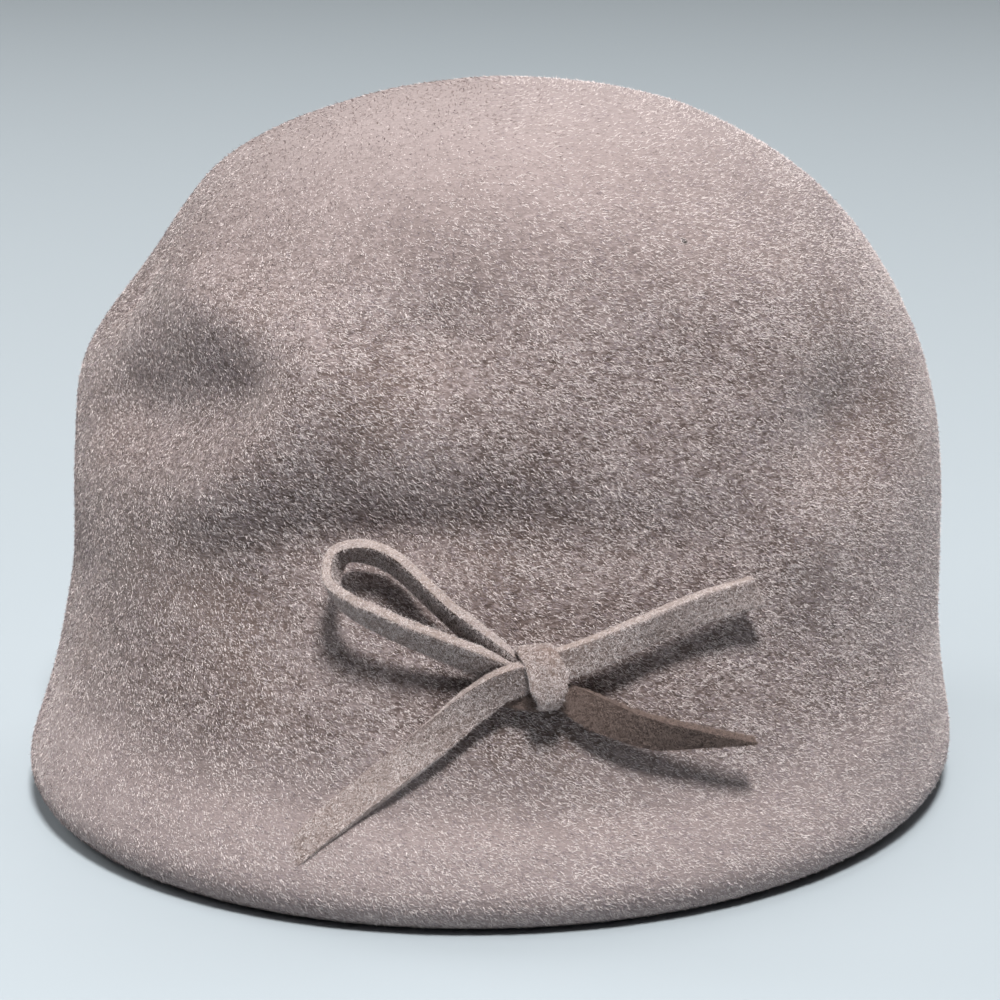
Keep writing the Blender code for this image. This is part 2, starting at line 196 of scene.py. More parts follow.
@dataclass(frozen=True)
class FeltFinish:
    """Brushed wool felt: matted crossing fibres, so it is matt all over, with a mottled short nap.

    The nap's crossing fibres give the eye small light and dark dashes, and their tips a soft pale edge. Real
    fibres are some 0.02 mm wide, too fine to show, so the dashes are drawn as coarse as tufts of them.
    """

    name: str
    dark: str
    middle: str
    light: str
    warm: str
    fibre_length_mm: float = 1.5
    fibre_width_mm: float = 0.42
    matting_mm: float = 2.6
    patch_mm: float = 26.0
    bump_mm: float = 0.16
    contrast: float = 1.0
    sheen: float = 0.35
    sheen_tint: str = "f0e6e2"
    specks: tuple[Speck, ...] = ()
    # Painted light: bands of height where the felt is made paler, on the crown's top and the brim, which the
    # light from above falls on
    painted_light_heights: tuple[tuple[float, float], ...] = ()  # mm up, where the felt starts to be paler and is so

    def material(self) -> Material:
        """Makes the felt's material.

        Returns:
            A material on Object coordinates, so that the nap lies still on the piece.
        """
        material = bpy.data.materials.new(self.name)
        material.use_nodes = True
        tree = material.node_tree
        shader = tree.nodes["Principled BSDF"]
        place = add_node(tree, "TexCoord").outputs["Object"]
        mm = add_node(tree, "Mapping", {"Scale": (1000.0,) * 3}, {"Vector": place}).outputs[0]
        nap = self.nap_height(tree, mm)
        mat = add_node(
            tree,
            "TexNoise",
            {"Scale": 1 / self.matting_mm, "Detail": 3.0, "Roughness": 0.6},
            {"Vector": mm},
        ).outputs["Fac"]
        colour = self.mottled_colour(tree, mm, nap, mat)
        height = nap
        for speck in self.specks:
            pit = self.pit(tree, place, speck)
            colour = add_node(
                tree, "Mix", {"data_type": "RGBA", 7: linear(speck.colour)}, {0: pit, 6: colour}
            ).outputs[2]
            height = add_node(tree, "Math", {"operation": "SUBTRACT"}, {0: height, 1: pit}).outputs[0]
        mixed = add_node(tree, "Math", {"operation": "MULTIPLY_ADD", 1: 0.5}, {0: mat, 2: height}).outputs[0]
        bump = add_node(
            tree, "Bump", {"Distance": self.bump_mm * MM, "Strength": 1.0}, {"Height": mixed}
        ).outputs[0]
        matt = add_node(tree, "MapRange", {"To Min": 0.98, "To Max": 0.86}, {"Value": nap}).outputs[0]
        tree.links.new(colour, shader.inputs["Base Color"])
        tree.links.new(matt, shader.inputs["Roughness"])
        tree.links.new(bump, shader.inputs["Normal"])
        shader.inputs["Specular IOR Level"].default_value = 0.18
        shader.inputs["Sheen Weight"].default_value = self.sheen
        shader.inputs["Sheen Roughness"].default_value = 0.45
        shader.inputs["Sheen Tint"].default_value = linear(self.sheen_tint)
        return material

    def mottled_colour(self, tree: Tree, mm: Socket, nap: Socket, mat: Socket) -> Socket:
        """Draws the felt's colour: three tones by the nap, with painted shade in its hollows, faded patches,
        and painted light by height.

        Args:
            tree: the material's node tree.
            mm: Object coordinates in millimetres.
            nap: the nap's height.
            mat: the matting's thickness.

        Returns:
            The colour.
        """
        patch = add_node(
            tree, "TexNoise", {"Scale": 1 / self.patch_mm, "Detail": 2.0}, {"Vector": mm}
        ).outputs["Fac"]
        both = add_node(tree, "Mix", {"Factor": 0.30}, {"A": nap, "B": mat}).outputs[0]
        tone = add_node(tree, "Mix", {"Factor": 0.22}, {"A": both, "B": patch}).outputs[0]
        # The dark tone goes where the nap is lowest: partly the fibres' own mixed tones, partly painted shade
        # in the hollows between them
        ramp = add_node(tree, "ValToRGB", {}, {"Fac": tone})
        spread = 0.16 / self.contrast
        stops = ramp.color_ramp.elements
        stops[0].position = 0.5 - spread
        stops[0].color = linear(self.dark)
        stops[1].position = 0.5 + spread
        stops[1].color = linear(self.light)
        stops.new(0.5).color = linear(self.middle)
        faded = add_node(
            tree,
            "TexNoise",
            {"noise_dimensions": "4D", "W": 3.0, "Scale": 0.7 / self.patch_mm, "Detail": 1.0},
            {"Vector": mm},
        ).outputs["Fac"]
        warmth = add_node(
            tree, "MapRange", {"From Min": 0.5, "From Max": 0.75, "To Max": 0.5}, {"Value": faded}
        ).outputs[0]
        colour = add_node(
            tree, "Mix", {"data_type": "RGBA", 7: linear(self.warm)}, {0: warmth, 6: ramp.outputs[0]}
        ).outputs[2]
        # Painted light: the felt is made paler towards the crown's top and down the brim, where the light
        # from above falls on it
        if self.painted_light_heights:
            rise = add_node(tree, "SeparateXYZ", {}, {0: mm}).outputs["Z"]
        for start, full in self.painted_light_heights:
            height_ramp = add_node(
                tree, "MapRange", {"From Min": start, "From Max": full, "To Max": 0.85}, {"Value": rise}
            ).outputs[0]
            colour = add_node(
                tree, "Mix", {"data_type": "RGBA", 7: linear(self.light)}, {0: height_ramp, 6: colour}
            ).outputs[2]
        return colour

    def nap_height(self, tree: Tree, mm: Socket) -> Socket:
        """Draws the nap: short wavy dashes that lie mostly round the hood, in two crossing layers.

        Args:
            tree: the material's node tree.
            mm: Object coordinates in millimetres.

        Returns:
            The nap's height, about 0 to 1.
        """
        curl = add_node(tree, "TexNoise", {"Scale": 0.9, "Detail": 1.0}, {"Vector": mm}).outputs["Color"]
        curled = add_node(
            tree, "VectorMath", {"operation": "MULTIPLY_ADD", 1: (1.3,) * 3}, {0: curl, 2: mm}
        ).outputs[0]
        layers = []
        for tilt, stretch in ((24.0, 1.0), (-12.0, 0.85)):
            along = 1 / self.fibre_length_mm
            lie = add_node(
                tree,
                "Mapping",
                {
                    "Rotation": (0.0, math.radians(tilt), 0.0),
                    "Scale": (along, along, stretch / self.fibre_width_mm),
                },
                {"Vector": curled},
            ).outputs[0]
            layer = add_node(
                tree, "TexNoise", {"Scale": 1.0, "Detail": 2.0, "Roughness": 0.55}, {"Vector": lie}
            )
            layers.append(layer.outputs["Fac"])
        highest = add_node(tree, "Math", {"operation": "MAXIMUM"}, {0: layers[0], 1: layers[1]})
        return highest.outputs[0]

    def pit(self, tree: Tree, place: Socket, speck: Speck) -> Socket:
        """Draws a speck.

        Args:
            tree: the material's node tree.
            place: Object coordinates.
            speck: where it is, and how wide.

        Returns:
            1 in the speck and 0 outside it.
        """
        away = add_node(
            tree, "VectorMath", {"operation": "DISTANCE", 1: tuple(speck.place)}, {0: place}
        ).outputs["Value"]
        return add_node(
            tree,
            "MapRange",
            {"From Min": speck.radius * 0.5, "From Max": speck.radius, "To Min": 1.0, "To Max": 0.0},
            {"Value": away},
        ).outputs[0]


@dataclass(frozen=True)
class FibreFinish:
    """Loose wool fibres of the nap, in one tone. They give the eye small pale strokes and a soft outline."""

    name: str
    colour: str

    def material(self) -> Material:
        """Makes the fibres' material, one tone on every fibre.

        Returns:
            The material.
        """
        material = bpy.data.materials.new(self.name)
        material.use_nodes = True
        shader = material.node_tree.nodes["Principled BSDF"]
        shader.inputs["Base Color"].default_value = linear(self.colour)
        shader.inputs["Roughness"].default_value = 0.8
        shader.inputs["Specular IOR Level"].default_value = 0.2
        return material


def add_piece(shape: Shape, name: str, materials: Iterable[Material]) -> Piece:
    """Makes a shape a smooth-shaded object at the origin.

    Args:
        shape: the finished shape, which is freed.
        name: the object's name.
        materials: its material slots.

    Returns:
        The object.
    """
    mesh = bpy.data.meshes.new(name)
    shape.to_mesh(mesh)
    shape.free()
    mesh.shade_smooth()
    for material in materials:
        mesh.materials.append(material)
    piece = bpy.data.objects.new(name, mesh)
    bpy.context.scene.collection.objects.link(piece)
    return piece


def face_away(shape: Shape, middle: Vector) -> None:
    """Turns a shape's faces, all of them alike, away from a point.

    Args:
        shape: the shape, with its faces already made alike.
        middle: the point.
    """
    if sum(face.normal.dot(face.calc_center_median() - middle) for face in shape.faces) < 0:
        bmesh.ops.reverse_faces(shape, faces=shape.faces)


def place_piece(piece: Piece, slot: str, *nodes: str) -> None:
    """Rides a piece on the hat, in place of its solids, and reports it.

    Args:
        piece: the finished piece.
        slot: not used.
        nodes: the solids that it stands for.
    """
    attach(piece, "root")
    if nodes:
        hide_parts(*nodes)
    mesh = piece.evaluated_get(bpy.context.evaluated_depsgraph_get()).data
    mesh.calc_loop_triangles()
    LOG.info("%s: %d triangles", piece.name, len(mesh.loop_triangles))


@dataclass
class HoodForm:
    """The hood's outer form: an oval dome, a brim that stands out at the front, and soft dents."""

    crown_length: float = 0.190
    crown_width: float = 0.182
    height: float = field(default_factory=lambda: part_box("felt_hood")[1].z)
    shoulder: float = 0.055
    dome_power: float = 2.2
    plain_top: float = 0.45  # share of the oval plan at which the dents begin to fade towards the top
    hem_height: float = 0.011
    rim_fade: float = 0.010  # height over which the dents fade towards the hem
    front_reach: float = 0.019
    back_reach: float = 0.0014
    reach_power: float = 2.1
    front_start: float = 0.0593
    back_start: float = 0.0283
    start_power: float = 1.685
    flare_power: float = 1.49
    edge_radius: float = 0.0055
    wave_height: float = 0.00028
    wave_length: float = 0.021
    dents: tuple[Dent, ...] = DENTS

    @property
    def axis_y(self) -> float:
        """Where the hood's own axis stands, behind the middle of its outline."""
        return (self.front_reach - self.back_reach) / 2

    def plan_radius(self, azimuth: float) -> float:
        """Radius of the crown's oval plan."""
        turn = math.radians(azimuth)
        return 1 / math.hypot(math.sin(turn) * 2 / self.crown_width, math.cos(turn) * 2 / self.crown_length)

    def dome_share(self, height: float) -> float:
        """How much of the oval plan is left at a height."""
        rise = min(max((height - self.shoulder) / (self.height - self.shoulder), 0.0), 1.0)
        return (1 - rise**self.dome_power) ** (1 / self.dome_power)

    def flare(self, azimuth: float, height: float) -> float:
        """How far the brim stands out from the crown's wall.

        Args:
            azimuth: from the front towards the wearer's left.
            height: above the rim's rest.

        Returns:
            The reach beyond the oval plan.
        """
        front = (1 + math.cos(math.radians(azimuth))) / 2
        reach = self.back_reach + (self.front_reach - self.back_reach) * front**self.reach_power
        start = self.back_start + (self.front_start - self.back_start) * front**self.start_power
        share = min(max((start - height) / (start - self.edge_radius), 0.0), 1.0)
        return reach * share**self.flare_power

    def smooth_point(self, azimuth: float, height: float, reach: float, inset: float = 0.0) -> Vector:
        """A point of the hood before its dents.

        Args:
            azimuth: from the front towards the wearer's left.
            height: above the rim's rest.
            reach: share of the oval plan.
            inset: how far inside the wall.

        Returns:
            The point.
        """
        radius = self.plan_radius(azimuth) * reach + self.flare(azimuth, height) - inset
        turn = math.radians(azimuth)
        return Vector((radius * math.sin(turn), self.axis_y - radius * math.cos(turn), height))

    def normal(self, azimuth: float, height: float) -> Vector:
        """The way out of the smooth form, from points a little to each side.

        Args:
            azimuth: from the front towards the wearer's left.
            height: above the rim's rest.

        Returns:
            The direction, of length 1.
        """
        step, degree_step, least_share = 0.0001, 0.05, 0.01
        low = max(height - step, self.edge_radius)
        high = min(height + step, self.height)
        share = max(self.dome_share(height), least_share)
        round_it = self.smooth_point(azimuth + degree_step, height, share)
        round_it -= self.smooth_point(azimuth - degree_step, height, share)
        up_it = self.smooth_point(azimuth, high, self.dome_share(high))
        up_it -= self.smooth_point(azimuth, low, self.dome_share(low))
        return round_it.cross(up_it).normalized()

    def dent_depth(self, azimuth: float, height: float) -> float:
        """How far all the dents and ridges together move the felt outwards.

        Args:
            azimuth: from the front towards the wearer's left.
            height: above the rim's rest.

        Returns:
            The distance, negative in a hollow.
        """
        moved = 0.0
        for dent in self.dents:
            turn = (azimuth - dent.azimuth + 180) % 360 - 180
            along = math.radians(turn) * self.crown_length / 2
            up = height - dent.height * self.height
            tilt = math.radians(dent.tilt)
            across = (along * math.cos(tilt) + up * math.sin(tilt)) / (dent.along * self.crown_length)
            rise = (up * math.cos(tilt) - along * math.sin(tilt)) / (dent.up * self.height)
            moved += dent.depth * self.crown_width * math.exp(-(across**2) - rise**2)
        top = min(self.dome_share(height) / self.plain_top, 1.0) ** 2
        return moved * top * min(max(height - self.hem_height, 0.0) / self.rim_fade, 1.0)

    def place(self, azimuth: float, height: float, out: float = 0.0) -> tuple[Vector, Vector]:
        """A place out above the dented felt.

        Args:
            azimuth: from the front towards the wearer's left.
            height: above the rim's rest.
            out: how far above the felt.

        Returns:
            The place, and the way out of the smooth form there.
        """
        normal = self.normal(azimuth, height)
        base = self.smooth_point(azimuth, height, self.dome_share(height))
        return base + normal * (self.dent_depth(azimuth, height) + out), normal

    def waves(self, point: Vector, height: float) -> float:
        """The slight unevenness of hand-blocked felt, none at the rim.

        Args:
            point: a point on the felt.
            height: its height.

        Returns:
            How far it moves the felt outwards.
        """
        fade = min(max((height - self.edge_radius) / self.shoulder * 3, 0.0), 1.0)
        slow = noise.noise(point / self.wave_length)
        quick = noise.noise(point / self.wave_length * 2.7 + Vector((7.0, 3.0, 5.0)))
        return fade * self.wave_height * (slow + 0.35 * quick)


@dataclass
class Hood:
    """The hood: crown, short brim, rolled rim and the hem inside it."""

    form: HoodForm
    felt: float = 0.0022
    rest_width: float = 0.0015
    roll_radius: float = 0.0026
    hem_height: float = 0.011
    hem_gap: float = 0.0005
    sides: int = 256
    dome_rings: int = 88
    wall_rings: int = 32
    edge_rings: int = 8
    roll_rings: int = 4
    hem_rings: int = 4
    rim_softening: int = 14  # rounds of smoothing where the brim turns under
    softened_rings: int = 5  # of the wall, above the rim's turn

    def rings(self) -> list[Ring]:
        """The rings of the outer face, from the pole to the hem's free end.

        Returns:
            The rings in order.
        """
        form = self.form
        rings = [Ring(form.height, 0.0, 0.0)]
        for ring in range(1, self.dome_rings + 1):
            turn = math.pi / 2 * ring / self.dome_rings
            rise = math.cos(turn) ** (2 / form.dome_power) if ring < self.dome_rings else 0.0
            height = form.shoulder + (form.height - form.shoulder) * rise
            rings.append(Ring(height, form.dome_share(height), 0.0))
        for ring in range(1, self.wall_rings + 1):
            height = form.shoulder + (form.edge_radius - form.shoulder) * ring / self.wall_rings
            rings.append(Ring(height, 1.0, 0.0))
        for ring in range(1, self.edge_rings + 1):
            turn = math.pi / 2 * ring / self.edge_rings
            low = form.edge_radius * (1 - math.sin(turn)) if ring < self.edge_rings else 0.0
            rings.append(Ring(low, 1.0, form.edge_radius * (1 - math.cos(turn))))
        rolled = form.edge_radius + self.rest_width
        for ring in range(self.roll_rings + 1):
            turn = math.pi / 2 * ring / self.roll_rings
            height = self.roll_radius * (1 - math.cos(turn))
            rings.append(Ring(height, 1.0, rolled + self.roll_radius * math.sin(turn)))
        low_inset = rolled + self.roll_radius
        top_inset = 2 * self.felt + self.hem_gap
        for ring in range(1, self.hem_rings + 1):
            share = ring / self.hem_rings
            height = self.roll_radius + (self.hem_height - self.roll_radius) * share
            rings.append(Ring(height, 1.0, low_inset + (top_inset - low_inset) * share))
        return rings

    def point(self, azimuth: float, ring: Ring) -> Vector:
        """A point of the outer face on a ring. The rim and the hem carry no dents.

        Args:
            azimuth: from the front towards the wearer's left.
            ring: its ring.

        Returns:
            The point.
        """
        form = self.form
        if ring.reach == 0.0:
            return Vector((0.0, form.axis_y, form.height))
        if ring.inset > 0.0:
            return form.smooth_point(azimuth, ring.height, ring.reach, ring.inset)
        point, normal = form.place(azimuth, ring.height)
        return point + normal * form.waves(point, ring.height)

    def build(self, felt: Material) -> Piece:
        """Models the hood as a dome of rings, and gives it the felt's thickness.

        Args:
            felt: its material.

        Returns:
            The hood.
        """
        rings = self.rings()
        last = len(rings) - 1
        walled = self.dome_rings + self.wall_rings
        turned = range(walled + 1 - self.softened_rings, walled + self.edge_rings - 1)
        shell = bmesh.new()
        # It starts from a grid, because a UV sphere's faces come in another order each run
        bmesh.ops.create_grid(shell, x_segments=self.sides, y_segments=last, size=1.0)
        ring_number = shell.verts.layers.int.new("ring")
        for vert in shell.verts:
            number = round((vert.co.y + 1) / 2 * last)
            vert[ring_number] = number
            vert.co = self.point(180.0 * vert.co.x, rings[number])
        bmesh.ops.remove_doubles(shell, verts=shell.verts, dist=1e-6)
        shell.verts.index_update()
        places = [vert.index for vert in shell.verts if vert[ring_number] in turned]
        shell.verts.layers.int.remove(ring_number)
        shell.verts.ensure_lookup_table()
        rim = [shell.verts[place] for place in places]
        for _ in range(self.rim_softening):
            bmesh.ops.smooth_vert(
                shell, verts=rim, factor=0.5, use_axis_x=True, use_axis_y=True, use_axis_z=True
            )
        bmesh.ops.recalc_face_normals(shell, faces=shell.faces)
        face_away(shell, Vector((0.0, self.form.axis_y, self.form.shoulder)))
        hood = add_piece(shell, "hood_felt", [felt])
        wall = hood.modifiers.new("thickness", "SOLIDIFY")
        wall.thickness = self.felt
        wall.offset = -1.0
        place_piece(hood, "wool_felt", "felt_hood")
        return hood


@dataclass
class Strip:
    """One stretch of the bow's narrow felt strip."""

    name: str
    node: str  # the solid that it stands for, if any
    turns: tuple[Turn, ...]
    length: float  # that the turns' shares are of
    side: Side
    start: float = 0.0039  # from the knot's middle
    tip_cut: float = 0.0  # length over which the end narrows to a point
    tip_share: float = 0.0  # share of the width left at the point
    # Cut edges in a paler felt: partly the felt's own lighter cut, partly a painted highlight on rims that
    # catch the light from above. Without it the edges take the tone of the face that is out
    pale_highlight_edges: bool = True
    ring: bool = False  # a loop, whose right side faces out of its own middle
    # The strip's back is painted darker and browner as shade; with this the strip lies with that back
    # outwards
    painted_shade_out: bool = False
    thin_end: float = 0.0  # length over which the end is pressed thin into the hood
    end_slant: float = 0.0  # how much longer the strip's lower edge is at its end


LOOP_TURNS = (
    Turn(-0.05, 0.000, 0.55, 80, 0.5),
    Turn(0.000, 0.085, 0.64, 78, 0.55),
    Turn(0.042, 0.150, 0.62, 58, 0.85),
    Turn(0.111, 0.287, 0.64, 41),
    Turn(0.202, 0.464, 0.70, 40),
    Turn(0.293, 0.615, 0.75, 40),
    Turn(0.362, 0.715, 0.77, 42),
    Turn(0.444, 0.791, 0.81, 44),
    Turn(0.539, 0.844, 0.86, 38),
    Turn(0.634, 0.867, 0.95, 21),
    Turn(0.675, 0.807, 1.12, -2),
    Turn(0.679, 0.737, 1.27, -23),
    Turn(0.639, 0.675, 1.35, -38),
    Turn(0.574, 0.610, 1.33, -46),
    Turn(0.449, 0.457, 1.15, -46),
    Turn(0.263, 0.291, 0.86, -46),
    Turn(0.069, 0.103, 0.58, -52, 0.9),
    Turn(-0.06, -0.020, 0.46, -56, 0.7),
)
STRAND_TURNS = (
    Turn(-0.065, 0.031, 0.66, 62, 0.9),
    Turn(-0.030, 0.029, 0.96, 58),
    Turn(0.033, 0.030, 0.94, 60),
    Turn(0.106, 0.021, 0.80, 63),
    Turn(0.221, -0.018, 0.56, 72),
    Turn(0.367, -0.086, 0.38, 84),
    Turn(0.535, -0.152, 0.24, 97),
    Turn(0.748, -0.227, 0.18, 100),
    Turn(0.934, -0.323, 0.13, 98, 0.95),
    Turn(1.030, -0.392, 0.06, 95, 0.6),
)
SQUARE_TAIL_TURNS = (
    Turn(-0.08, 0.038, 0.91, -75),
    Turn(0.007, 0.032, 0.90, -75),
    Turn(0.075, 0.026, 0.88, -75),
    Turn(0.258, 0.023, 0.80, -75),
    Turn(0.397, 0.029, 0.76, -75),
    Turn(0.536, 0.020, 0.72, -78),
    Turn(0.724, -0.007, 0.68, -82),
    Turn(0.959, -0.068, 0.66, -88),
)
POINTED_TAIL_TURNS = (
    Turn(-0.12, -0.050, 0.40, -88, 0.62),
    Turn(-0.061, -0.105, 0.43, -86, 0.70),
    Turn(-0.008, -0.192, 0.51, -82, 0.86),
    Turn(0.060, -0.273, 0.64, -74),
    Turn(0.153, -0.375, 0.75, -67),
    Turn(0.260, -0.486, 0.84, -57),
    Turn(0.446, -0.628, 0.87, -50),
    Turn(0.739, -0.871, 0.89, -49),
)

KNOT_CURL_TURNS = (
    Turn(-0.15, -0.80, 0.22, 60, 0.4),
    Turn(0.15, -0.68, 0.42, 66, 0.46),
    Turn(0.45, -0.52, 0.52, 72, 0.48),
    Turn(0.75, -0.34, 0.48, 76, 0.46),
    Turn(1.05, -0.14, 0.30, 80, 0.4),
)


class BandRow(NamedTuple):
    """How far the knot's band reaches to either side of its middle, at a height up its front."""

    up: float  # share of the knot's height, from its middle
    right: float  # towards the wearer's right, share of the knot's width
    left: float  # towards the wearer's left


BAND_ROWS = (
    BandRow(-0.50, 0.22, 0.36),
    BandRow(-0.37, 0.26, 0.44),
    BandRow(-0.19, 0.40, 0.55),
    BandRow(0.04, 0.41, 0.58),
    BandRow(0.30, 0.50, 0.46),
    BandRow(0.50, 0.64, 0.33),
)


@dataclass
class Bow:
    """The half bow: one loop, one strand and two tails of a narrow strip, drawn tight by a knot."""

    form: HoodForm
    strip_width: float = 0.00635
    strip_felt: float = 0.0020
    edge_round: float = 0.0006
    edge_segments: int = 3
    edge_angle: float = 50.0  # edges sharper than this are rounded
    thinnest: float = 0.15  # share of the felt's thickness left at a thin end
    ragged: float = 0.00012  # unevenness of the cut edges
    ragged_waves: float = 900.0  # of it, in a metre
    knot_azimuth: float = 23.7
    knot_height: float = 0.0466
    tilt: float = 20.0
    knot_width: float = 0.0073
    knot_tall: float = 0.0122
    knot_depth: float = 0.0090
    knot_tilt: float = 4.0  # the band itself stands straighter than the bow
    band_around: int = 72
    band_tall_power: float = 0.8  # of the band's outline, 1 for an ellipse and less for a squarer one
    band_deep_power: float = 0.75
    band_end_curl: float = 0.07  # how much less round the band is at its cut edges, in share
    band_end_power: int = 6
    fold_depth: float = 0.00016
    fold_waves: float = 5.5  # across the band, in radians from its middle to an edge
    fold_slant: float = 0.25
    fold_shift: float = 0.9
    steps: int = 5
    easing: int = 12  # rounds of evening out along a strip
    across: int = 8
    strips: tuple[Strip, ...] = (
        Strip("loop_strip", "bow_loop", LOOP_TURNS, 0.039, Side.WEARERS_RIGHT, ring=True),
        Strip("strand_strip", "bow_strand", STRAND_TURNS, 0.046, Side.WEARERS_RIGHT, thin_end=0.009),
        Strip(
            "square_tail_strip", "bow_tail_square", SQUARE_TAIL_TURNS, 0.043, Side.WEARERS_LEFT,
            end_slant=0.0012,
        ),
        Strip(
            "pointed_tail_strip", "bow_tail_pointed", POINTED_TAIL_TURNS, 0.034, Side.WEARERS_LEFT,
            # The pointed tail's rims keep the painted shade of its back
            tip_cut=0.0200, tip_share=0.07, pale_highlight_edges=False, painted_shade_out=True,
        ),
        Strip(
            "knot_curl_strip", "", KNOT_CURL_TURNS, 0.006, Side.WEARERS_RIGHT,
            # The curl's rims keep the painted shade of its back
            start=0.0017, pale_highlight_edges=False, painted_shade_out=True,
        ),
    )

    def place(self, along: float, aside: float, out: float) -> tuple[Vector, Vector]:
        """A place in the bow's own directions, counted from the middle of the knot.

        Args:
            along: along the knot's axis, towards the wearer's left.
            aside: up across that axis.
            out: above the felt.

        Returns:
            The place, and the way out of the hood there.
        """
        tilt = math.radians(self.tilt)
        across = along * math.cos(tilt) - aside * math.sin(tilt)
        up = along * math.sin(tilt) + aside * math.cos(tilt)
        form = self.form
        radius = form.plan_radius(self.knot_azimuth) + form.flare(self.knot_azimuth, self.knot_height)
        return form.place(self.knot_azimuth + math.degrees(across / radius), self.knot_height + up, out)

    def smooth_turns(self, turns: tuple[Turn, ...]) -> list[Turn]:
        """Puts more turns between the turns, along a smooth curve, and evens them out.

        Args:
            turns: the strip's turns.

        Returns:
            The turns for every step along the strip.
        """
        spread = []
        for number in range(len(turns) - 1):
            before = turns[max(number - 1, 0)]
            here = turns[number]
            after = turns[number + 1]
            beyond = turns[min(number + 2, len(turns) - 1)]
            for step in range(self.steps):
                share = step / self.steps
                spread.append(Turn(*(between(*four, share) for four in zip(before, here, after, beyond))))
        spread.append(turns[-1])
        for _ in range(self.easing):
            middle = [
                Turn(*((2 * here + before + after) / 4 for before, here, after in zip(*three)))
                for three in zip(spread, spread[1:], spread[2:])
            ]
            spread = [spread[0], *middle, spread[-1]]
        return spread

    def lay(self, strip: Strip) -> tuple[Shape, Vector]:
        """Lays a strip as a grid along its turns, with its right side out.

        Args:
            strip: its turns and sizes.

        Returns:
            The shape, and the place of the strip's far end.
        """
        stations = self.smooth_turns(strip.turns)
        places = []
        for turn in stations:
            along = strip.side.value * (strip.start + turn.along * strip.length)
            places.append(self.place(along, turn.aside * strip.length, turn.out * self.strip_width))
        last = len(stations) - 1
        tip = places[last][0]
        shape = bmesh.new()
        bmesh.ops.create_grid(shape, x_segments=last, y_segments=self.across, size=1.0)
        for vert in shape.verts:
            number = round((vert.co.x + 1) / 2 * last)
            share = vert.co.y
            point, normal = places[number]
            way = (places[min(number + 1, last)][0] - places[max(number - 1, 0)][0]).normalized()
            normal = (normal - way * normal.dot(way)).normalized()
            lean = math.radians(stations[number].lean)
            width_way = normal * math.cos(lean) + way.cross(normal) * math.sin(lean)
            half = stations[number].width * self.strip_width / 2
            low = -half
            if strip.tip_cut > 0.0:
                kept = min(1.0, (point - tip).length / strip.tip_cut + strip.tip_share)
                low = half * (1 - 2 * kept)
            wave = noise.noise(point * self.ragged_waves + Vector((share, 0.0, 0.0)))
            ragged = wave * self.ragged * abs(share)
            vert.co = point + width_way * (low + (half - low) * (share + 1) / 2 + ragged)
            if number == last:
                vert.co -= way * (strip.end_slant * share)
        bmesh.ops.recalc_face_normals(shape, faces=shape.faces)
        behind = Vector((0.0, self.form.axis_y, self.knot_height))
        if strip.ring:
            behind = sum((place[0] for place in places), Vector()) / len(places)
        face_away(shape, behind)
        return shape, tip

    def add_strip(self, strip: Strip, felts: list[Material]) -> Piece:
        """Models one strip, with its thickness and its soft cut edges.

        Args:
            strip: its turns and sizes.
            felts: the materials of its right side, its cut edges and its back, which is painted darker as
                shade.

        Returns:
            The strip.
        """
        shape, tip = self.lay(strip)
        # The third material, on the strip's back, is painted shade
        right_side, edges, shade_painted_felt = felts
        order = (shade_painted_felt, edges, right_side) if strip.painted_shade_out else (right_side, edges, shade_painted_felt)
        piece = add_piece(shape, strip.name, order)
        wall = piece.modifiers.new("thickness", "SOLIDIFY")
        if strip.thin_end > 0.0:
            thick = piece.vertex_groups.new(name="felt_thickness")
            for vert in piece.data.vertices:
                thick.add([vert.index], min(1.0, (vert.co - tip).length / strip.thin_end), "REPLACE")
            wall.vertex_group = thick.name
            wall.thickness_vertex_group = self.thinnest
        wall.material_offset = 2
        wall.thickness = self.strip_felt
        wall.offset = 0.0
        wall.use_even_offset = True
        # Rims get the paler edge felt with its painted highlight, or else the outer face's tone
        wall.material_offset_rim = int(strip.pale_highlight_edges)
        self.soften_edges(piece)
        place_piece(piece, "strip_felt", *filter(None, [strip.node]))
        return piece

    def soften_edges(self, piece: Piece) -> None:
        """Rounds a strip's cut edges.

        Args:
            piece: a strip that has its thickness.
        """
        soft = piece.modifiers.new("edges", "BEVEL")
        soft.width = self.edge_round
        soft.segments = self.edge_segments
        soft.limit_method = "ANGLE"
        soft.angle_limit = math.radians(self.edge_angle)

